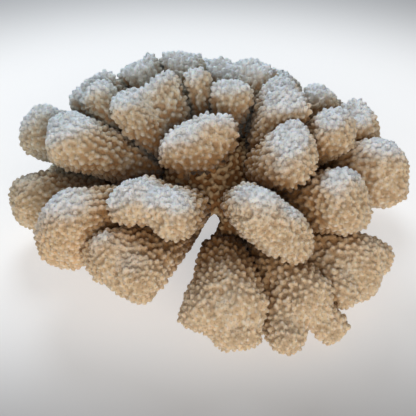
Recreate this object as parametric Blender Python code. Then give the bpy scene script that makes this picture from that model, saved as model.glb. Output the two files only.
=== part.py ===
"""Cauliflower coral: a domed colony of stubby paddle-shaped lobes that radiate from a fused heart.

The colony stands on the flat cut where it was taken off the rock. Every main branch is a piece of its
own that starts on a flat seat on the heart, and carries one, two or three lobes covered in lumps.
Metres, +Z up, the viewer of the photograph on the -Y side.
"""

import math

import bmesh
import bpy
from mathutils import Vector, noise
from mathutils.bvhtree import BVHTree

# The heart is the point that every branch radiates from, above the flat cut.
heart_height = 0.022
heart_radius = 0.028
heart_swell = 1.12
foot_radius = 0.026
seat_gap = 0.0003

# A lobe is a rounded bar, narrow at the heart and blunt at the tip, with a skin of lumps.
lobe_start = 0.016
grid_pitch = 0.0040
squareness = 2.5
end_share = 0.42
root_wide = 0.48
root_thick = 0.68
lump_pitch = 0.0100
lump_height = 0.0040
lump_rest = 0.34
kept_share = 0.29

# The see-through gap between the two front forks, swept along the line of sight of the photograph.
sight_rise = math.radians(40)
gap_top = 0.0065
gap_bottom = 0.0600
gap_lean = math.radians(27)
gap_width = 0.0130
gap_depth = 0.09

heart = Vector((0.0, 0.0, heart_height))


def lobe(azimuth, rise, reach, wide, thick, roll=0, root=None):
    """One lobe: heading in degrees, reach from the heart and section in mm, roll of the wide axis in
    degrees, and the heading its root leaves the heart in, where that is not its own."""
    return dict(azimuth=azimuth, rise=rise, reach=reach / 1000, wide=wide / 1000, thick=thick / 1000,
                roll=roll, root=root or (azimuth, rise))


branches = {
    "branch_left_low": [lobe(-178, 0, 94, 32, 24, 70)],
    "branch_left_outer": [lobe(166, 15, 95, 30, 22, 75)],
    "branch_left_upper": [lobe(178, 26, 83, 32, 26, 30)],
    "branch_left_front": [lobe(-150, 10, 88, 40, 26, 80)],
    "branch_front_left_low": [lobe(-132, 8, 78, 25, 24, 40), lobe(-121, 5, 78, 23, 22, 0)],
    "branch_front_left": [lobe(-131, 30, 72, 23, 20, 60), lobe(-112, 31, 71, 24, 20, -20)],
    "branch_front_right": [lobe(-67, 27, 76, 43, 22, -52)],
    "branch_front_low": [lobe(-96, -1, 80, 21, 20, 60, root=(-86, -2)), lobe(-81, 2, 78, 17, 20, 80),
                         lobe(-84, -7, 85, 22, 16, 10)],
    "branch_front_right_low": [lobe(-60, 0, 83, 23, 20, 55), lobe(-70, -7, 90, 18, 16, 60),
                               lobe(-56, -8, 91, 17, 16, 20)],
    "branch_right_low": [lobe(-38, -1, 86, 30, 22, 70), lobe(-48, -3, 84, 17, 18, 40)],
    "branch_right_inner": [lobe(-26, -4, 85, 17, 14, 20)],
    "branch_right": [lobe(-34, 23, 79, 30, 24, 80)],
    "branch_right_outer": [lobe(-6, 16, 87, 32, 24, 60)],
    "branch_right_rear": [lobe(16, 24, 80, 27, 20, 20)],
    "branch_right_upper": [lobe(-5, 40, 74, 23, 20, 0, root=(-12, 36))],
    "branch_top_right": [lobe(-34, 47, 66, 33, 22, 40)],
    "branch_top_front": [lobe(-163, 74, 48, 43, 18, -86, root=(-96, 56))],
    "branch_top_left": [lobe(168, 48, 67, 19, 18, 0, root=(178, 44)),
                        lobe(142, 57, 63, 20, 17, 0, root=(158, 52))],
    "branch_top": [lobe(74, 67, 55, 25, 17, 0)],
    "branch_top_inner": [lobe(110, 62, 61, 14, 14, 90)],
    "branch_top_rear": [lobe(67, 45, 66, 25, 19, 0), lobe(90, 41, 66, 13, 16, 0)],
    "branch_rear_left": [lobe(116, 41, 72, 17, 17, 0), lobe(104, 41, 68, 13, 16, 0)],
    "branch_rear_left_outer": [lobe(126, 38, 74, 19, 18, 0), lobe(135, 35, 74, 17, 18, 0)],
    "branch_left_rear": [lobe(146, 30, 80, 19, 20, 0), lobe(153, 26, 82, 19, 18, 0)],
    "branch_left_inner": [lobe(156, 35, 77, 21, 18, 0, root=(160, 28))],
    "branch_top_right_rear": [lobe(5, 57, 64, 21, 18, 20), lobe(33, 53, 64, 19, 18, 0)],
    "branch_rear_right": [lobe(30, 32, 71, 19, 20, 0)],
    "branch_back_left_low": [lobe(142, 5, 83, 30, 24, 40)],
    "branch_back_left": [lobe(118, 14, 78, 30, 24, 20)],
    "branch_back": [lobe(94, 20, 76, 32, 24, 0)],
    "branch_back_low": [lobe(92, -4, 76, 28, 22, 30)],
    "branch_back_right": [lobe(66, 16, 78, 32, 24, -10)],
    "branch_back_right_low": [lobe(44, 6, 84, 32, 24, 50)],
    "branch_right_back": [lobe(18, 2, 87, 30, 24, 30)],
    "branch_left_back_low": [lobe(163, -5, 84, 25, 20, 30)],
}


def clear_scene():
    for obj in list(bpy.data.objects):
        bpy.data.objects.remove(obj)


def new_collection(name):
    collection = bpy.data.collections.new(name)
    bpy.context.scene.collection.children.link(collection)
    return collection


def coral_material(name, colour, roughness):
    material = bpy.data.materials.new(name)
    material.use_nodes = True
    shader = material.node_tree.nodes["Principled BSDF"]
    shader.inputs["Base Color"].default_value = (*colour, 1.0)
    shader.inputs["Roughness"].default_value = roughness
    shader.inputs["Metallic"].default_value = 0.0
    material.diffuse_color = (*colour, 1.0)
    return material


def heading(azimuth, rise):
    """The unit vector of a heading in degrees."""
    a, r = math.radians(azimuth), math.radians(rise)
    return Vector((math.cos(a) * math.cos(r), math.sin(a) * math.cos(r), math.sin(r)))


def spine_point(spec, share):
    """A point on the curve that runs from the heart, out along the root heading, to the lobe's tip."""
    tip = heading(spec["azimuth"], spec["rise"]) * spec["reach"]
    elbow = heading(*spec["root"]) * (0.5 * spec["reach"])
    return heart + elbow * (2.0 * share * (1.0 - share)) + tip * share ** 2


def section_axes(spec):
    """The wide and the thin direction of a lobe's section."""
    a, k = math.radians(spec["azimuth"]), math.radians(spec["roll"])
    along = heading(spec["azimuth"], spec["rise"])
    level = Vector((-math.sin(a), math.cos(a), 0.0))
    wide = level * math.cos(k) + along.cross(level) * math.sin(k)
    return wide, along.cross(wide)


def gridded_cube(counts):
    """A cube from -1 to 1 whose faces are cut into a grid."""
    bm = bmesh.new()
    bmesh.ops.create_cube(bm, size=2.0)
    for axis, count in enumerate(counts):
        normal = Vector((0.0, 0.0, 0.0))
        normal[axis] = 1.0
        for k in range(1, count):
            bmesh.ops.bisect_plane(bm, geom=bm.verts[:] + bm.edges[:] + bm.faces[:], dist=1e-6,
                                   plane_co=normal * (2.0 * k / count - 1.0), plane_no=normal)
    return bm


def lobe_mesh(spec):
    """A gridded cube rounded off, blunt at its ends, drawn along the lobe's spine and roughened with lumps."""
    start = lobe_start / spec["reach"]
    length = spec["reach"] - lobe_start
    bm = gridded_cube([round(size / grid_pitch) for size in (spec["wide"], spec["thick"], length)])
    wide, thin = section_axes(spec)
    end = min(1.0, 2.0 * end_share * spec["wide"] / length)
    for v in bm.verts:
        p = Vector((v.co.x, v.co.y, max(0.0, abs(v.co.z) - 1.0 + end) / end))
        p /= sum(abs(c) ** squareness for c in p) ** (1.0 / squareness)
        level = math.copysign(1.0 - end + end * p.z, v.co.z) if abs(v.co.z) > 1.0 - end else v.co.z
        forward = 0.5 * (level + 1.0)
        opening = min(1.0, forward / 0.85)
        opening = opening * opening * (3.0 - 2.0 * opening)
        across = wide * (0.5 * spec["wide"] * p.x * (root_wide + (1.0 - root_wide) * opening))
        through = thin * (0.5 * spec["thick"] * p.y * (root_thick + (1.0 - root_thick) * opening))
        v.co = spine_point(spec, start + (1.0 - start) * forward) + across + through
    bm.normal_update()
    moves = [v.normal * (lump_height * (lump_rest - noise.voronoi(v.co / lump_pitch)[0][0])) for v in bm.verts]
    for v, move in zip(bm.verts, moves):
        v.co += move
    bmesh.ops.recalc_face_normals(bm, faces=bm.faces[:])
    return bm


def cut_flat(bm, point, normal):
    """Keeps what lies on the side that the normal points to, and closes the cut."""
    bmesh.ops.bisect_plane(bm, geom=bm.verts[:] + bm.edges[:] + bm.faces[:], dist=1e-7,
                           plane_co=point, plane_no=normal, clear_inner=True)
    rim = [e for e in bm.edges if e.is_boundary]
    if rim:
        bmesh.ops.holes_fill(bm, edges=rim, sides=0)
        bmesh.ops.triangulate(bm, faces=[f for f in bm.faces if len(f.verts) > 4])
        bmesh.ops.recalc_face_normals(bm, faces=bm.faces[:])


def half_width(spec, towards):
    """How far a lobe's side stands from its spine in a direction across it."""
    wide, thin = section_axes(spec)
    return 0.5 * math.hypot(towards.dot(wide) * spec["wide"], towards.dot(thin) * spec["thick"])


def part_neighbours(lumps):
    """Where lobes of two branches would run into each other, both are cut by a plane through the heart."""
    pieces = [(name, spec, bm) for name, members in lumps.items() for spec, bm in members]
    trees = [BVHTree.FromBMesh(bm) for _, _, bm in pieces]
    clashes = [(i, j) for i in range(len(pieces)) for j in range(i + 1, len(pieces))
               if pieces[i][0] != pieces[j][0] and trees[i].overlap(trees[j])]
    for i, j in clashes:
        a, b = [(spine_point(pieces[k][1], 0.7) - heart).normalized() for k in (i, j)]
        across = (a - b).normalized()
        first, second = half_width(pieces[i][1], across), half_width(pieces[j][1], across)
        border = b.lerp(a, second / (first + second)).normalized()
        normal = (across - border * across.dot(border)).normalized()
        cut_flat(pieces[i][2], heart + normal * 0.5 * seat_gap, normal)
        cut_flat(pieces[j][2], heart - normal * 0.5 * seat_gap, -normal)


def mesh_object(name, bm, collection, material=None):
    mesh = bpy.data.meshes.new(name)
    bm.to_mesh(mesh)
    bm.free()
    mesh.shade_smooth()
    mesh.set_sharp_from_angle(angle=math.radians(50))
    obj = bpy.data.objects.new(name, mesh)
    collection.objects.link(obj)
    if material:
        mesh.materials.append(material)
    else:
        obj.hide_render = True
        obj.display_type = "WIRE"
    return obj


def boolean(obj, operation, other):
    modifier = obj.modifiers.new(f"{operation.lower()} {other.name}", "BOOLEAN")
    modifier.operation = operation
    modifier.solver = "EXACT"
    modifier.object = other


def thin_out(obj, share):
    """Thins the triangles and keeps the form and the flat cuts."""
    modifier = obj.modifiers.new("thin out", "DECIMATE")
    modifier.ratio = share
    modifier.use_collapse_triangulate = True


def gap_cutter(collection):
    """A bar of air through the front of the colony, pointed at the top and leaning to the left."""
    right = Vector((1.0, 0.0, 0.0))
    up = Vector((0.0, math.sin(sight_rise), math.cos(sight_rise)))
    towards_eye = Vector((0.0, -math.cos(sight_rise), math.sin(sight_rise)))
    down = -up * math.cos(gap_lean) - right * math.sin(gap_lean)
    side = towards_eye.cross(down)
    bm = bmesh.new()
    bmesh.ops.create_cube(bm, size=2.0)
    for v in bm.verts:
        near_top = v.co.x < 0.0
        distance = 0.0 if near_top else gap_bottom - gap_top
        half = 0.25 * gap_width if near_top else 0.5 * gap_width
        v.co = heart - up * gap_top + down * distance + side * (v.co.y * half) + towards_eye * (gap_depth * v.co.z)
    bmesh.ops.recalc_face_normals(bm, faces=bm.faces[:])
    return mesh_object("front_gap", bm, collection)


def base_mesh():
    """The fused heart: a ball above, drawn down to the flat cut below."""
    bm = bmesh.new()
    ball = heart_radius * heart_swell
    bmesh.ops.create_uvsphere(bm, u_segments=14, v_segments=8, radius=ball)
    for v in bm.verts:
        level = math.hypot(v.co.x, v.co.y)
        if v.co.z < 0.0 and level > 1e-6:
            drop = -v.co.z / ball
            scale = (ball + (foot_radius - ball) * drop) / level
            v.co = Vector((v.co.x * scale, v.co.y * scale, -1.3 * heart_height * drop))
        v.co += heart
    return bm


def middle_of(collection):
    """The middle of the colony as seen from above, on the level of the flat cut."""
    depsgraph = bpy.context.evaluated_depsgraph_get()
    corners = []
    for obj in collection.objects:
        if obj.type == "MESH":
            shaped = obj.evaluated_get(depsgraph)
            corners += [shaped.matrix_world @ v.co for v in shaped.data.vertices]
    level = [0.5 * (min(c[axis] for c in corners) + max(c[axis] for c in corners)) for axis in (0, 1)]
    return Vector((level[0], level[1], 0.0))


def main():
    clear_scene()
    colony = new_collection("cauliflower_coral")
    cutters = new_collection("cutters")
    cream = coral_material("coral_skeleton", (0.78, 0.68, 0.54), 0.75)
    amber = coral_material("coral_base", (0.52, 0.38, 0.24), 0.80)
    reef = bpy.data.objects.new("coral_colony", None)
    colony.objects.link(reef)

    lumps = {name: [(spec, lobe_mesh(spec)) for spec in members] for name, members in branches.items()}
    part_neighbours(lumps)
    for name, members in lumps.items():
        branch = mesh_object(name, members[0][1], colony, cream)
        for number, (_, bm) in enumerate(members[1:], 1):
            boolean(branch, "UNION", mesh_object(f"{name}_lobe_{number}", bm, cutters))

    base = base_mesh()
    depsgraph = bpy.context.evaluated_depsgraph_get()
    for name, members in branches.items():
        out = sum((heading(*spec["root"]) for spec in members), Vector()).normalized()
        seat = heart + out * (heart_radius + seat_gap)
        cut_flat(base, heart + out * heart_radius, -out)
        branch = colony.objects[name]
        bm = bmesh.new()
        bm.from_object(branch, depsgraph)
        cut_flat(bm, seat, out)
        bmesh.ops.translate(bm, verts=bm.verts[:], vec=-seat)
        branch.modifiers.clear()
        bm.to_mesh(branch.data)
        bm.free()
        branch.location = seat
        branch.parent = reef
        thin_out(branch, kept_share)
    cut_flat(base, Vector((0.0, 0.0, 0.0)), Vector((0.0, 0.0, 1.0)))
    foot = mesh_object("base", base, colony, amber)
    foot.parent = reef
    cutter = gap_cutter(cutters)
    cutter.parent = reef
    boolean(foot, "DIFFERENCE", cutter)
    reef.location = -middle_of(colony)


main()
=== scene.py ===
import math
import random

import bmesh
import bpy
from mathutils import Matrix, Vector
from mathutils.bvhtree import BVHTree


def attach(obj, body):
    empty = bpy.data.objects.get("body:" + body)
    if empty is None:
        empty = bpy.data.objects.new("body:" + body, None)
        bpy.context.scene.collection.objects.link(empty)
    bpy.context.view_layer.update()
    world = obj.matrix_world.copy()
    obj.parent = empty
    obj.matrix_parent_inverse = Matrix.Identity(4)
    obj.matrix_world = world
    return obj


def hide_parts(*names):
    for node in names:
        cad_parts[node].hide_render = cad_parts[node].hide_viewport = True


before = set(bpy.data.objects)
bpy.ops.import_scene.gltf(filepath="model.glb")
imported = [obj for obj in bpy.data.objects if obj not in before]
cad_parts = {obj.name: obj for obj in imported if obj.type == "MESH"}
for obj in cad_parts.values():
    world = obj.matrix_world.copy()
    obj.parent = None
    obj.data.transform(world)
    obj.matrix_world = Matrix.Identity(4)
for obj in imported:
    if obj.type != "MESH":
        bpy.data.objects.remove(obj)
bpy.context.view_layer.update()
heart = Vector((0.0057, 0.0042, 0.022))  # where every branch comes from

# The camera looks down at the colony, which fills the width of a square picture
view = {
    "frameSize": 416,
    "pixelWidth": 0.0004534,  # metres at the heart
    "heartPixel": (218, 198),
    "distance": 0.50,
    "rise": 40.0,
    "sensor": 36.0,
}


def makeCamera():
    rise = math.radians(view["rise"])
    forward = Vector((0.0, math.cos(rise), -math.sin(rise)))
    up = Vector((0.0, math.sin(rise), math.cos(rise)))
    right = Vector((1.0, 0.0, 0.0))
    middle = view["frameSize"] / 2
    besides = (view["heartPixel"][0] - middle) * view["pixelWidth"]
    above = (middle - view["heartPixel"][1]) * view["pixelWidth"]
    lens = bpy.data.cameras.new("camera")
    lens.sensor_width = view["sensor"]
    lens.lens = view["sensor"] * view["distance"] / (view["frameSize"] * view["pixelWidth"])
    camera = bpy.data.objects.new("camera", lens)
    camera.location = heart - forward * view["distance"] - right * besides - up * above
    camera.rotation_euler = forward.to_track_quat("-Z", "Y").to_euler()
    bpy.context.scene.collection.objects.link(camera)
    bpy.context.scene.camera = camera


makeCamera()
print("camera placed")

# The smooth flesh of a branch, under its knobs
core = {
    "mergeWithin": 1e-5,
    "voxel": 0.0019,
    "smoothing": 5,
    "sink": 0.0010,  # how far it lies under the solid's skin
    "valleySink": 0.0006,  # and how much further where lobes face each other
    "valleyOpen": (0.15, 0.60),  # from a full valley to none
    "kept": 0.70,
}


def evaluatedCopy(obj, name):
    depsgraph = bpy.context.evaluated_depsgraph_get()
    mesh = bpy.data.meshes.new_from_object(obj.evaluated_get(depsgraph), depsgraph=depsgraph)
    mesh.name = name
    bpy.data.objects.remove(obj)
    result = bpy.data.objects.new(name, mesh)
    bpy.context.scene.collection.objects.link(result)
    return result


def mergedCopy(node, name):
    bm = bmesh.new()
    bm.from_mesh(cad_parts[node].data)
    bmesh.ops.remove_doubles(bm, verts=bm.verts[:], dist=core["mergeWithin"])
    mesh = bpy.data.meshes.new(name)
    bm.to_mesh(mesh)
    bm.free()
    obj = bpy.data.objects.new(name, mesh)
    bpy.context.scene.collection.objects.link(obj)
    return obj


def makeCore(node):
    obj = mergedCopy(node, node + "_core")
    remesh = obj.modifiers.new("remesh", "REMESH")
    remesh.mode = "VOXEL"
    remesh.voxel_size = core["voxel"]
    smooth = obj.modifiers.new("smooth", "SMOOTH")
    smooth.factor = 0.5
    smooth.iterations = core["smoothing"]
    sink = obj.modifiers.new("sink", "DISPLACE")
    sink.mid_level = 0.0
    sink.strength = -core["sink"]
    thin = obj.modifiers.new("thin", "DECIMATE")
    thin.ratio = core["kept"]
    return evaluatedCopy(obj, node + "_skin")


# How open each point of the skin is to the light, how near the tips, and where the painted cool
# highlight lies
exposure = {
    "rays": 24,
    "rayTurn": 2.399963,  # the golden angle
    "rayWobble": 0.04,
    "reach": 0.045,
    "start": 0.0008,
    "farShade": 0.3,  # what a hit counts at full reach
    "floorReach": 0.004,
    "evening": (5, 0.6),  # rounds, and the share that the neighbours have
    "tipReach": (0.66, 0.97),  # of a branch's own reach
    "tipOpen": (0.45, 0.86),
    "paintedHighlightFrom": Vector((-0.30, 0.45, 0.85)).normalized(),  # the side that the painted cool highlight faces, up and behind
    "paintedHighlightTurn": (-0.05, 0.85),
    "paintedHighlightHeights": (0.028, 0.060),
    "leastPaintedHighlight": 0.22,  # its share below the first height
}


def ease(value, low, high):
    share = min(1.0, max(0.0, (value - low) / (high - low)))
    return share * share * (3.0 - 2.0 * share)


def raySpray():
    dice = random.Random(7)
    spray = []
    for k in range(exposure["rays"]):
        turn = exposure["rayTurn"] * k
        lift = math.sqrt((k + 0.5) / exposure["rays"])
        wobble = dice.uniform(-exposure["rayWobble"], exposure["rayWobble"])
        lean = min(0.99, max(0.02, lift + wobble))
        height = math.sqrt(1.0 - lean * lean)
        spray.append(Vector((lean * math.cos(turn), lean * math.sin(turn), height)))
    return spray


def evenedOut(mesh, values):
    # Each point takes part of its neighbours' mean, a few times over
    neighbours = [[] for _ in values]
    for edge in mesh.edges:
        first, second = edge.vertices
        neighbours[first].append(second)
        neighbours[second].append(first)
    rounds, share = exposure["evening"]
    for _ in range(rounds):
        values = [(1.0 - share) * value + share * sum(values[k] for k in near) / len(near)
                  if near else value
                  for value, near in zip(values, neighbours)]
    return values


def measureExposure(skins):
    places, faces = [], []
    for skin in skins:
        start = len(places)
        places += [v.co.copy() for v in skin.data.vertices]
        faces += [[start + k for k in p.vertices] for p in skin.data.polygons]
    tree = BVHTree.FromPolygons(places, faces)
    spray = raySpray()
    reach = exposure["reach"]
    fading = 1.0 - exposure["farShade"]
    least = exposure["leastPaintedHighlight"]
    for skin in skins:
        shares = {"open": [], "tip": [], "frost": []}
        farthest = max((v.co - heart).length for v in skin.data.vertices)
        for v in skin.data.vertices:
            normal = v.normal
            turned = normal.to_track_quat("Z", "Y")
            start = v.co + normal * exposure["start"]
            shade = 0.0
            for ray in spray:
                distance = tree.ray_cast(start, turned @ ray, reach)[3]
                if distance is not None:
                    shade += 1.0 - fading * distance / reach
                elif start.z + (turned @ ray).z * exposure["floorReach"] < 0.0:
                    shade += 1.0
            isOpen = 1.0 - shade / len(spray)
            nearTip = ease((v.co - heart).length / farthest, *exposure["tipReach"])
            nearTip *= ease(isOpen, *exposure["tipOpen"])
            # Painted highlight: near the tips, faces turned up and back and lying higher up get the
            # frost-white as if lit from there, over the tips' own whiteness
            frost = nearTip * ease(normal.dot(exposure["paintedHighlightFrom"]), *exposure["paintedHighlightTurn"])
            frost *= least + (1.0 - least) * ease(v.co.z, *exposure["paintedHighlightHeights"])
            for name, share in (("open", isOpen), ("tip", nearTip), ("frost", frost)):
                shares[name].append(share)
        for name, values in shares.items():
            shares[name] = evenedOut(skin.data, values)
            attribute = skin.data.attributes.new(name, "FLOAT", "POINT")
            attribute.data.foreach_set("value", shares[name])
        normals = [v.normal.copy() for v in skin.data.vertices]
        for v, normal, isOpen in zip(skin.data.vertices, normals, shares["open"]):
            v.co -= normal * (core["valleySink"] * (1.0 - ease(isOpen, *core["valleyOpen"])))


nodeNames = sorted(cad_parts)
skins = {node: makeCore(node) for node in nodeNames}
print("skins made:", sum(len(s.data.polygons) for s in skins.values()), "faces")
measureExposure(list(skins.values()))
print("exposure measured")

# One knob of the skin, about one unit wide, standing on the ground plane
knobShape = {
    "sides": 9,
    # radius, height, crest
    "rings": ((0.56, -0.30, 0.0), (0.51, 0.10, 0.15), (0.49, 0.42, 0.60), (0.36, 0.68, 0.92)),
    "top": 0.80,
}


def makeKnob():
    bm = bmesh.new()
    crest = bm.verts.layers.float.new("crest")
    rings = []
    for radius, height, crestShare in knobShape["rings"]:
        ring = []
        for k in range(knobShape["sides"]):
            turn = 2.0 * math.pi * k / knobShape["sides"]
            v = bm.verts.new((radius * math.cos(turn), radius * math.sin(turn), height))
            v[crest] = crestShare
            ring.append(v)
        rings.append(ring)
    top = bm.verts.new((0.0, 0.0, knobShape["top"]))
    top[crest] = 1.0
    for lower, upper in zip(rings, rings[1:]):
        for k in range(knobShape["sides"]):
            after = (k + 1) % knobShape["sides"]
            bm.faces.new((lower[k], lower[after], upper[after], upper[k]))
    for k in range(knobShape["sides"]):
        bm.faces.new((rings[-1][k], rings[-1][(k + 1) % knobShape["sides"]], top))
    bm.faces.new(rings[0][::-1])
    bmesh.ops.recalc_face_normals(bm, faces=bm.faces[:])
    mesh = bpy.data.meshes.new("knob")
    bm.to_mesh(mesh)
    bm.free()
    knob = bpy.data.objects.new("knob", mesh)
    bpy.context.scene.collection.objects.link(knob)
    return knob


# Inputs of the tree that grows knobs on a skin: kind of socket and value
verrucae = {
    "Spacing": ("NodeSocketFloat", 0.0025),  # least distance of two knobs on the sides, at first
    "Tip Spacing": ("NodeSocketFloat", 0.0020),
    "Tries": ("NodeSocketFloat", 3000000.0),  # starts a square metre
    "Room": ("NodeSocketFloat", 0.0032),  # how far apart they then move
    "Tip Room": ("NodeSocketFloat", 0.0027),
    "Fill": ("NodeSocketFloat", 0.86),  # width as a share of the way to the next knob
    "Tip Fill": ("NodeSocketFloat", 0.92),
    "Height": ("NodeSocketFloat", 1.18),
    "Tip Height": ("NodeSocketFloat", 1.12),
    "Uneven": ("NodeSocketFloat", 0.30),  # how much narrower or wider a knob may be
    "Stretch": ("NodeSocketFloat", 0.30),  # how much longer a knob may be, away from the heart
    "Lean": ("NodeSocketFloat", 0.30),
    "Voxel": ("NodeSocketFloat", 0.00050),  # cell of the volume that fuses knobs and skin
    "Roughen": ("NodeSocketFloat", 0.0005),
    "Least Open": ("NodeSocketFloat", 0.10),
    "Heart": ("NodeSocketVector", tuple(heart)),
    "Seed": ("NodeSocketInt", 3),
}


# What the tree has no input for
growth = {
    "tipFrom": 0.45,  # how near a tip a face is to get the closer knobs
    "pushes": 14,
    "pushShare": 0.45,
    "mostRoom": 1.15,  # a knob grows no wider than this share of its room
    "band": 0.002,
    "grain": 700.0,
}


def addNode(tree, kind, settings=None, inputs=None):
    made = tree.nodes.new(kind)
    for name, value in (settings or {}).items():
        setattr(made, name, value)
    for socket in made.inputs:
        value = (inputs or {}).get(socket.identifier)
        if isinstance(value, bpy.types.NodeSocket):
            tree.links.new(value, socket)
        elif value is not None:
            socket.default_value = value
    return made


def maths(tree, operation, first, second=0.0, third=0.0):
    inputs = {"Value": first, "Value_001": second, "Value_002": third}
    return addNode(tree, "ShaderNodeMath", {"operation": operation}, inputs).outputs["Value"]


def vectors(tree, operation, first, second=None, scale=None):
    inputs = {"Vector": first, "Vector_001": second, "Scale": scale}
    made = addNode(tree, "ShaderNodeVectorMath", {"operation": operation}, inputs)
    return made.outputs["Value" if operation in ("LENGTH", "DISTANCE") else "Vector"]


def named(tree, name):
    made = addNode(tree, "GeometryNodeInputNamedAttribute", None, {"Name": name})
    return made.outputs["Attribute"]


def towardsNearest(tree, points):
    # Arrow from each point's nearest neighbour to the point
    place = addNode(tree, "GeometryNodeInputPosition").outputs["Position"]
    nearest = addNode(tree, "GeometryNodeIndexOfNearest").outputs["Index"]
    there = addNode(tree, "GeometryNodeSampleIndex",
                    {"data_type": "FLOAT_VECTOR", "domain": "POINT"},
                    {"Geometry": points, "Value": place, "Index": nearest}).outputs["Value"]
    return place, vectors(tree, "SUBTRACT", place, there)


def growTree():
    tree = bpy.data.node_groups.new("verrucae", "GeometryNodeTree")
    face = tree.interface
    face.new_socket("Geometry", in_out="INPUT", socket_type="NodeSocketGeometry")
    for label, (kind, value) in verrucae.items():
        face.new_socket(label, in_out="INPUT", socket_type=kind).default_value = value
    face.new_socket("Knob", in_out="INPUT", socket_type="NodeSocketObject")
    face.new_socket("Material", in_out="INPUT", socket_type="NodeSocketMaterial")
    face.new_socket("Geometry", in_out="OUTPUT", socket_type="NodeSocketGeometry")
    given = tree.nodes.new("NodeGroupInput").outputs
    skin = given["Geometry"]
    tip = named(tree, "tip")

    # Starts: one set on the sides and a closer one on the tips
    faceTip = addNode(tree, "GeometryNodeFieldOnDomain", {"data_type": "FLOAT", "domain": "FACE"},
                      {"Value": tip}).outputs["Value"]
    onSide, onTip = [addNode(tree, "FunctionNodeCompare", {"operation": how},
                             {"A": faceTip, "B": growth["tipFrom"]})
                     for how in ("LESS_EQUAL", "GREATER_THAN")]
    points = addNode(tree, "GeometryNodeJoinGeometry")
    for where, spacing in ((onSide, "Spacing"), (onTip, "Tip Spacing")):
        starts = addNode(tree, "GeometryNodeDistributePointsOnFaces",
                         {"distribute_method": "POISSON"},
                         {"Mesh": skin, "Selection": where.outputs["Result"],
                          "Distance Min": given[spacing], "Density Max": given["Tries"],
                          "Seed": given["Seed"]})
        tree.links.new(starts.outputs["Points"], points.inputs["Geometry"])
    shut = addNode(tree, "FunctionNodeCompare", {"operation": "LESS_THAN"},
                   {"A": named(tree, "open"), "B": given["Least Open"]})
    kept = addNode(tree, "GeometryNodeDeleteGeometry", {"domain": "POINT"},
                   {"Geometry": points.outputs["Geometry"], "Selection": shut.outputs["Result"]})

    # They push each other apart until they are evenly packed
    def sideToTip(name):
        return addNode(tree, "ShaderNodeMix", {"data_type": "FLOAT"},
                       {"Factor_Float": tip, "A_Float": given[name],
                        "B_Float": given["Tip " + name]}).outputs["Result"]

    room = sideToTip("Room")
    first = tree.nodes.new("GeometryNodeRepeatInput")
    last = tree.nodes.new("GeometryNodeRepeatOutput")
    first.pair_with_output(last)
    first.inputs["Iterations"].default_value = growth["pushes"]
    tree.links.new(kept.outputs["Geometry"], first.inputs["Geometry"])
    place, arrow = towardsNearest(tree, first.outputs["Geometry"])
    short = maths(tree, "SUBTRACT", room, vectors(tree, "LENGTH", arrow))
    push = vectors(tree, "SCALE", vectors(tree, "NORMALIZE", arrow),
                   scale=maths(tree, "MULTIPLY", maths(tree, "MAXIMUM", short, 0.0),
                               growth["pushShare"]))
    onSkin = addNode(tree, "GeometryNodeProximity", {"target_element": "FACES"},
                     {"Target": skin, "Source Position": vectors(tree, "ADD", place, push)})
    moved = addNode(tree, "GeometryNodeSetPosition", None,
                    {"Geometry": first.outputs["Geometry"], "Position": onSkin.outputs["Position"]})
    tree.links.new(moved.outputs["Geometry"], last.inputs["Geometry"])
    settled = last.outputs["Geometry"]

    # Each knob is as wide as its room allows, a little longer one way, and leans outwards
    place, arrow = towardsNearest(tree, settled)
    free = maths(tree, "MINIMUM", vectors(tree, "LENGTH", arrow),
                 maths(tree, "MULTIPLY", room, growth["mostRoom"]))
    dice, otherDice = [addNode(tree, "FunctionNodeRandomValue", {"data_type": "FLOAT"},
                               {"Seed": maths(tree, "ADD", given["Seed"], more)}).outputs[1]
                       for more in (0.0, 50.0)]
    spread = maths(tree, "MULTIPLY_ADD", maths(tree, "SUBTRACT", otherDice, 0.5), given["Uneven"],
                   sideToTip("Fill"))
    width = maths(tree, "MULTIPLY", free, spread)
    longer = maths(tree, "MULTIPLY_ADD", dice, given["Stretch"], 1.0)
    scale = addNode(tree, "ShaderNodeCombineXYZ", None,
                    {"X": maths(tree, "MULTIPLY", width, longer), "Y": width,
                     "Z": maths(tree, "MULTIPLY", width, sideToTip("Height"))}).outputs["Vector"]
    outward = vectors(tree, "NORMALIZE", vectors(tree, "SUBTRACT", place, given["Heart"]))
    skinNormal = addNode(tree, "GeometryNodeInputNormal").outputs["Normal"]
    normal = addNode(tree, "GeometryNodeSampleNearestSurface", {"data_type": "FLOAT_VECTOR"},
                     {"Mesh": skin, "Value": skinNormal, "Sample Position": place}).outputs["Value"]
    upright = vectors(tree, "ADD", normal, vectors(tree, "SCALE", outward, scale=given["Lean"]))
    turn = addNode(tree, "FunctionNodeAxesToRotation", {"primary_axis": "Z", "secondary_axis": "X"},
                   {"Primary Axis": upright, "Secondary Axis": outward}).outputs["Rotation"]
    tinted = addNode(tree, "GeometryNodeStoreNamedAttribute",
                     {"data_type": "FLOAT", "domain": "POINT"},
                     {"Geometry": settled, "Name": "tint", "Value": dice}).outputs["Geometry"]
    knobs = addNode(tree, "GeometryNodeObjectInfo", None,
                    {"Object": given["Knob"]}).outputs["Geometry"]
    planted = addNode(tree, "GeometryNodeInstanceOnPoints", None,
                      {"Points": tinted, "Instance": knobs, "Rotation": turn, "Scale": scale})

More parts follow.
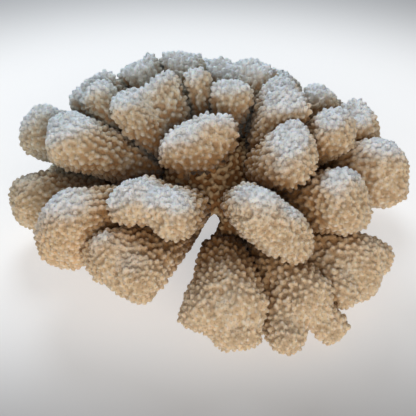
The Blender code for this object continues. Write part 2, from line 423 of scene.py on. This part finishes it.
    # Skin and knobs are fused into one surface, which is slightly uneven
    whole = addNode(tree, "GeometryNodeJoinGeometry")
    tree.links.new(skin, whole.inputs["Geometry"])
    tree.links.new(planted.outputs["Instances"], whole.inputs["Geometry"])
    solid = addNode(tree, "GeometryNodeRealizeInstances", None,
                    {"Geometry": whole.outputs["Geometry"]}).outputs["Geometry"]
    filled = addNode(tree, "GeometryNodeMeshToVolume", {"resolution_mode": "VOXEL_SIZE"},
                     {"Mesh": solid, "Voxel Size": given["Voxel"],
                      "Interior Band Width": growth["band"]})
    surface = addNode(tree, "GeometryNodeVolumeToMesh", {"resolution_mode": "GRID"},
                      {"Volume": filled.outputs["Volume"]}).outputs["Mesh"]
    here = addNode(tree, "GeometryNodeInputPosition").outputs["Position"]
    evened = addNode(tree, "GeometryNodeBlurAttribute", {"data_type": "FLOAT_VECTOR"},
                     {"Value": here, "Iterations": 1}).outputs["Value"]
    grain = addNode(tree, "ShaderNodeTexNoise", None,
                    {"Scale": growth["grain"], "Detail": 2.0}).outputs["Color"]
    uneven = vectors(tree, "SCALE", vectors(tree, "SUBTRACT", grain, (0.5, 0.5, 0.5)),
                     scale=given["Roughen"])
    shaped = addNode(tree, "GeometryNodeSetPosition", None,
                     {"Geometry": surface, "Position": evened,
                      "Offset": uneven}).outputs["Geometry"]

    # It takes over what the skin and the knobs know of each place
    for name in ("open", "tip", "frost", "crest", "tint"):
        known = addNode(tree, "GeometryNodeSampleNearestSurface", {"data_type": "FLOAT"},
                        {"Mesh": solid, "Value": named(tree, name),
                         "Sample Position": here}).outputs["Value"]
        shaped = addNode(tree, "GeometryNodeStoreNamedAttribute",
                         {"data_type": "FLOAT", "domain": "POINT"},
                         {"Geometry": shaped, "Name": name, "Value": known}).outputs["Geometry"]
    smooth = addNode(tree, "GeometryNodeSetShadeSmooth", None, {"Geometry": shaped})
    painted = addNode(tree, "GeometryNodeSetMaterial", None,
                      {"Geometry": smooth.outputs["Geometry"], "Material": given["Material"]})
    result = tree.nodes.new("NodeGroupOutput")
    tree.links.new(painted.outputs["Geometry"], result.inputs["Geometry"])
    return tree


# Colours of the skeleton and of its painted light and shade, from the shut valleys to the open tips
skeletonLooks = {
    "deep": (0.042, 0.020, 0.008),
    "amber": (0.280, 0.148, 0.056),
    "tan": (0.510, 0.330, 0.170),
    "cream": (0.700, 0.540, 0.360),
    "paintedCreviceShade": (0.360, 0.170, 0.050),
    "rim": (0.780, 0.600, 0.395),
    "frost": (0.890, 0.910, 0.930),
    "farCoolShade": (0.430, 0.470, 0.440),
    "paintedCoolLight": (0.900, 0.965, 0.985),
    "paintedWarmLight": (0.980, 0.850, 0.680),
    # lightness at which one colour gives way to the next
    "amberFrom": (0.05, 0.36),
    "tanFrom": (0.26, 0.60),
    "creamFrom": (0.52, 0.90),
    "patches": (45.0, 0.45),  # scale, and share in the lightness
    "speckle": (900.0, 0.30),
    # ranges that a measure goes through, then what it gives at their ends
    "heartShade": (0.030, 0.066, -0.22, 0.02),
    "lowLift": (0.018, 0.045, 0.20, 0.0),
    "lowFrom": (0.032, 0.055),
    "farSide": (-0.020, 0.060, 0.0, 0.72),
    "farSlant": -0.35,  # it reaches nearer on the left
    "leftSide": (-0.075, -0.010, 0.90, 0.0),
    "nearSide": (-0.010, 0.030, 1.0, 0.0),
    "rimShare": 0.55,
    "frostAndHighlightRange": (0.12, 0.95),
    "capping": (0.70, 1.0, 0.0, 0.36),
    "cappingOpen": (0.3, 0.8),
    "betweenKnobs": (0.05, 0.75, 1.0, 0.0),
    "creviceByTip": (0.0, 0.8, 0.82, 0.42),
    "creviceByFrost": (0.0, 0.7, 1.0, 0.45),
    "creviceByLift": (0.0, 0.20, 1.0, 0.60),
    "roughCloud": 300.0,
    "roughness": (0.3, 0.7, 0.62, 0.86),
    "corallites": 1100.0,  # cells a metre
    "cup": (0.10, 0.42),
    "cupTone": (0.0, 1.0, 0.80, 1.06),
    "knobTone": (0.0, 1.0, 0.88, 1.08),
    "corallitePits": 0.00035,
    "grain": 2600.0,
    "grainRise": 0.00010,
    "shader": {
        "Subsurface Weight": 0.18,
        "Subsurface Radius": (1.0, 0.60, 0.35),
        "Subsurface Scale": 0.0012,
        "Specular IOR Level": 0.30,
        "Sheen Weight": 0.25,
        "Sheen Roughness": 0.40,
    },
}


def attribute(tree, name):
    return addNode(tree, "ShaderNodeAttribute", {"attribute_name": name}).outputs["Fac"]


def between(tree, value, low, high, start=0.0, end=1.0):
    # Goes smoothly from start to end while the value goes from low to high
    return addNode(tree, "ShaderNodeMapRange", {"interpolation_type": "SMOOTHSTEP"},
                   {"Value": value, "From Min": low, "From Max": high,
                    "To Min": start, "To Max": end}).outputs["Result"]


def blend(tree, share, first, second, how="MIX"):
    made = addNode(tree, "ShaderNodeMix", {"data_type": "RGBA", "blend_type": how},
                   {"Factor_Float": share, "A_Color": first, "B_Color": second})
    return next(o for o in made.outputs if o.identifier == "Result_Color")


def opaque(colour):
    return (*colour, 1.0)


def skeletonMaterial():
    looks = skeletonLooks
    material = bpy.data.materials.new("coralSkeleton")
    material.use_nodes = True
    tree = material.node_tree
    shader = tree.nodes["Principled BSDF"]
    place = addNode(tree, "ShaderNodeTexCoord").outputs["Object"]
    isOpen, tip, frost, crest, tint = [attribute(tree, name)
                                       for name in ("open", "tip", "frost", "crest", "tint")]

    def cloud(scale, detail=3.0):
        return addNode(tree, "ShaderNodeTexNoise", None,
                       {"Vector": place, "Scale": scale, "Detail": detail}).outputs["Fac"]

    def speckled(value):
        return maths(tree, "MULTIPLY_ADD", speckle, looks["speckle"][1], value)

    # Painted shade, with the brown residue of the deep parts: darker where it is shut in and
    # towards the heart; painted light makes it lighter low on the outside
    patches, speckle = cloud(looks["patches"][0]), cloud(looks["speckle"][0])
    distance = vectors(tree, "DISTANCE", place, tuple(heart))
    across, back, up = addNode(tree, "ShaderNodeSeparateXYZ", None, {"Vector": place}).outputs
    light = maths(tree, "MULTIPLY_ADD", maths(tree, "SUBTRACT", patches, 0.5),
                  looks["patches"][1], isOpen)
    light = maths(tree, "ADD", light, between(tree, distance, *looks["heartShade"]))
    paintedLowLight = maths(tree, "MULTIPLY", between(tree, up, *looks["lowLift"]),
                    between(tree, distance, *looks["lowFrom"]))
    light = maths(tree, "ADD", light, paintedLowLight)
    colour = opaque(looks["deep"])
    for name in ("amber", "tan", "cream"):
        share = between(tree, light, *looks[name + "From"])
        colour = blend(tree, share, colour, opaque(looks[name]))

    # Painted cool shade makes the far side a little greener and cooler; painted warm light makes
    # the near left warmer
    slanted = maths(tree, "MULTIPLY_ADD", across, looks["farSlant"], back)
    farSide = between(tree, slanted, *looks["farSide"])
    nearLeft = maths(tree, "MULTIPLY", between(tree, across, *looks["leftSide"]),
                     between(tree, back, *looks["nearSide"]))
    colour = blend(tree, farSide, colour, opaque(looks["farCoolShade"]))
    colour = blend(tree, nearLeft, colour, opaque(looks["paintedWarmLight"]), "MULTIPLY")

    # Paler tips, partly frost-white and partly a painted cool highlight where they face up and
    # back; painted highlight on open knob tops; painted amber shade between the knobs
    rimmed = maths(tree, "MULTIPLY", tip, looks["rimShare"])
    colour = blend(tree, rimmed, colour, opaque(looks["rim"]))
    frostAndHighlightMask = between(tree, speckled(frost), *looks["frostAndHighlightRange"])
    paintedKnobHighlight = maths(tree, "MULTIPLY", between(tree, crest, *looks["capping"]),
                   between(tree, isOpen, *looks["cappingOpen"]))
    colour = blend(tree, maths(tree, "MAXIMUM", frostAndHighlightMask, paintedKnobHighlight), colour, opaque(looks["frost"]))
    # The painted cool light of the far side tints the highlight too
    colour = blend(tree, farSide, colour, opaque(looks["paintedCoolLight"]), "MULTIPLY")
    paintedCreviceShade = between(tree, speckled(crest), *looks["betweenKnobs"])
    for measure, name in ((tip, "creviceByTip"), (frost, "creviceByFrost"),
                          (paintedLowLight, "creviceByLift")):
        paintedCreviceShade = maths(tree, "MULTIPLY", paintedCreviceShade, between(tree, measure, *looks[name]))
    colour = blend(tree, paintedCreviceShade, colour, opaque(looks["paintedCreviceShade"]))

    # Tiny cups and a different tone on each knob
    cells = addNode(tree, "ShaderNodeTexVoronoi", {"feature": "F1"},
                    {"Vector": place, "Scale": looks["corallites"],
                     "Randomness": 0.8}).outputs["Distance"]
    cup = between(tree, cells, *looks["cup"])
    tone = maths(tree, "MULTIPLY", between(tree, cup, *looks["cupTone"]),
                 between(tree, tint, *looks["knobTone"]))
    shade = addNode(tree, "ShaderNodeCombineColor", None,
                    {"Red": tone, "Green": tone, "Blue": tone})
    colour = blend(tree, 1.0, colour, shade.outputs["Color"], "MULTIPLY")
    tree.links.new(colour, shader.inputs["Base Color"])

    rough = between(tree, cloud(looks["roughCloud"]), *looks["roughness"])
    tree.links.new(rough, shader.inputs["Roughness"])
    pits = addNode(tree, "ShaderNodeBump", None,
                   {"Strength": 0.8, "Distance": looks["corallitePits"], "Height": cup})
    grain = addNode(tree, "ShaderNodeBump", None,
                    {"Strength": 0.7, "Distance": looks["grainRise"],
                     "Height": cloud(looks["grain"], 2.0), "Normal": pits.outputs["Normal"]})
    tree.links.new(grain.outputs["Normal"], shader.inputs["Normal"])
    for name, value in looks["shader"].items():
        shader.inputs[name].default_value = value
    return material


# The fused foot: porous brown stone, worn where it was cut
footLooks = {
    "dark": (0.080, 0.038, 0.014),
    "rust": (0.260, 0.120, 0.040),
    "dust": (0.480, 0.330, 0.180),
    "knob": (0.560, 0.390, 0.220),
    "patches": 120.0,
    "rustFrom": (0.35, 0.60),
    "dustFrom": (0.40, 0.75),
    "pores": 420.0,
    "poreWall": (0.12, 0.45),
    "poreDepth": 0.0006,
    "knobHeights": (0.012, 0.030),
    "knobCrest": (0.10, 0.85),
    "roughness": (0.3, 0.7, 0.72, 0.92),
}


def footMaterial():
    looks = footLooks
    material = bpy.data.materials.new("coralFoot")
    material.use_nodes = True
    tree = material.node_tree
    shader = tree.nodes["Principled BSDF"]
    place = addNode(tree, "ShaderNodeTexCoord").outputs["Object"]
    patches = addNode(tree, "ShaderNodeTexNoise", None,
                      {"Vector": place, "Scale": looks["patches"], "Detail": 5.0}).outputs["Fac"]
    pores = addNode(tree, "ShaderNodeTexVoronoi", {"feature": "F1"},
                    {"Vector": place, "Scale": looks["pores"]}).outputs["Distance"]
    wall = between(tree, pores, *looks["poreWall"])
    colour = blend(tree, between(tree, patches, *looks["rustFrom"]), opaque(looks["dark"]),
                   opaque(looks["rust"]))
    dusty = maths(tree, "MULTIPLY", wall, between(tree, patches, *looks["dustFrom"]))
    colour = blend(tree, dusty, colour, opaque(looks["dust"]))

    # Between the branches it has knobs of its own
    height = addNode(tree, "ShaderNodeSeparateXYZ", None, {"Vector": place}).outputs["Z"]
    crest = between(tree, attribute(tree, "crest"), *looks["knobCrest"])
    knobs = blend(tree, crest, opaque(looks["rust"]), opaque(looks["knob"]))
    colour = blend(tree, between(tree, height, *looks["knobHeights"]), colour, knobs)
    tree.links.new(colour, shader.inputs["Base Color"])
    tree.links.new(between(tree, patches, *looks["roughness"]), shader.inputs["Roughness"])
    relief = addNode(tree, "ShaderNodeBump", None,
                     {"Strength": 0.9, "Distance": looks["poreDepth"],
                      "Height": maths(tree, "MULTIPLY_ADD", patches, 0.5, wall)})
    tree.links.new(relief.outputs["Normal"], shader.inputs["Normal"])
    shader.inputs["Specular IOR Level"].default_value = 0.25
    return material


leastHeight = 0.0002  # nothing dips below the cut
keptShare = 0.35  # triangles kept of the fused surface


def dress(node, skin, tree, knob, material, seed):
    modifier = skin.modifiers.new("verrucae", "NODES")
    modifier.node_group = tree
    sockets = {s.name: s.identifier for s in tree.interface.items_tree if s.in_out == "INPUT"}
    for name, value in (("Seed", seed), ("Knob", knob), ("Material", material)):
        modifier[sockets[name]] = value
    thin = skin.modifiers.new("thin", "DECIMATE")
    thin.ratio = keptShare
    piece = evaluatedCopy(skin, node + "_grown")
    for v in piece.data.vertices:
        v.co.z = max(v.co.z, leastHeight)
    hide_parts(node)
    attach(piece, "root")
    return piece


tree = growTree()
knob = makeKnob()
skeleton, foot = skeletonMaterial(), footMaterial()
total = 0
for seed, node in enumerate(nodeNames, 1):
    material, slot = (foot, "coral_base") if node == "base" else (skeleton, "coral_skeleton")
    piece = dress(node, skins[node], tree, knob, material, seed)
    triangles = sum(len(p.vertices) - 2 for p in piece.data.polygons)
    total += triangles
    print("grown", node, triangles)
bpy.data.objects.remove(knob)
print("triangles in all:", total)

# Pale floor and soft light
studio = {
    "floorWidth": 8.0,
    "floorBright": (0.60, 0.57, 0.55),
    "floorDim": (0.30, 0.29, 0.29),
    "floorGlow": (0.51, 0.10),  # it gives off a little light: under the coral, and far off
    "glowMiddle": (-0.005, 0.060, 0.0),
    "glowReach": (0.080, 0.225),
    "glowSqueeze": (0.65, 1.0, 0.0),
    "haze": (3.0, 0.01),
    "world": (0.96, 0.98, 1.00),
    "worldStrength": 0.22,
    "aim": (0.0, 0.0, 0.03),
    # name, place, width, watts, colour
    "lights": (
        ("sky", (-0.12, 0.55, 0.52), 0.38, 3.5, (0.79, 0.90, 1.00)),
        ("front", (0.10, -0.90, 0.32), 0.70, 4.9, (1.00, 0.94, 0.86)),
    ),
}


def makeStudio():
    bpy.ops.mesh.primitive_plane_add(size=studio["floorWidth"])
    floor = bpy.context.object
    floor.name = "floor"
    paint = bpy.data.materials.new("paleFloor")
    paint.use_nodes = True
    tree = paint.node_tree
    shader = tree.nodes["Principled BSDF"]
    place = addNode(tree, "ShaderNodeTexCoord").outputs["Object"]
    hazeScale, hazeShare = studio["haze"]
    haze = addNode(tree, "ShaderNodeTexNoise", None,
                   {"Vector": place, "Scale": hazeScale}).outputs["Fac"]
    # Painted pool of light: the floor is paler and glows round the coral, and is darker further off
    apart = vectors(tree, "SUBTRACT", place, studio["glowMiddle"])
    away = vectors(tree, "LENGTH", vectors(tree, "MULTIPLY", apart, studio["glowSqueeze"]))
    away = maths(tree, "MULTIPLY_ADD", maths(tree, "SUBTRACT", haze, 0.5), hazeShare, away)
    dimmed = between(tree, away, *studio["glowReach"])
    tree.links.new(blend(tree, dimmed, opaque(studio["floorBright"]), opaque(studio["floorDim"])),
                   shader.inputs["Base Color"])
    shader.inputs["Emission Color"].default_value = opaque(studio["world"])
    glow = between(tree, dimmed, 0.0, 1.0, *studio["floorGlow"])
    tree.links.new(glow, shader.inputs["Emission Strength"])
    shader.inputs["Roughness"].default_value = 0.85
    shader.inputs["Specular IOR Level"].default_value = 0.10
    floor.data.materials.append(paint)
    for name, spot, width, watts, colour in studio["lights"]:
        lamp = bpy.data.lights.new(name, "AREA")
        lamp.shape = "DISK"
        lamp.size = width
        lamp.energy = watts
        lamp.color = colour
        light = bpy.data.objects.new(name, lamp)
        light.location = spot
        aim = Vector(studio["aim"]) - Vector(spot)
        light.rotation_euler = aim.to_track_quat("-Z", "Y").to_euler()
        bpy.context.scene.collection.objects.link(light)
    world = bpy.data.worlds.new("studio")
    world.use_nodes = True
    background = world.node_tree.nodes["Background"]
    background.inputs["Color"].default_value = opaque(studio["world"])
    background.inputs["Strength"].default_value = studio["worldStrength"]
    bpy.context.scene.world = world
    bpy.context.scene.view_settings.view_transform = "Standard"


makeStudio()
print("studio made")
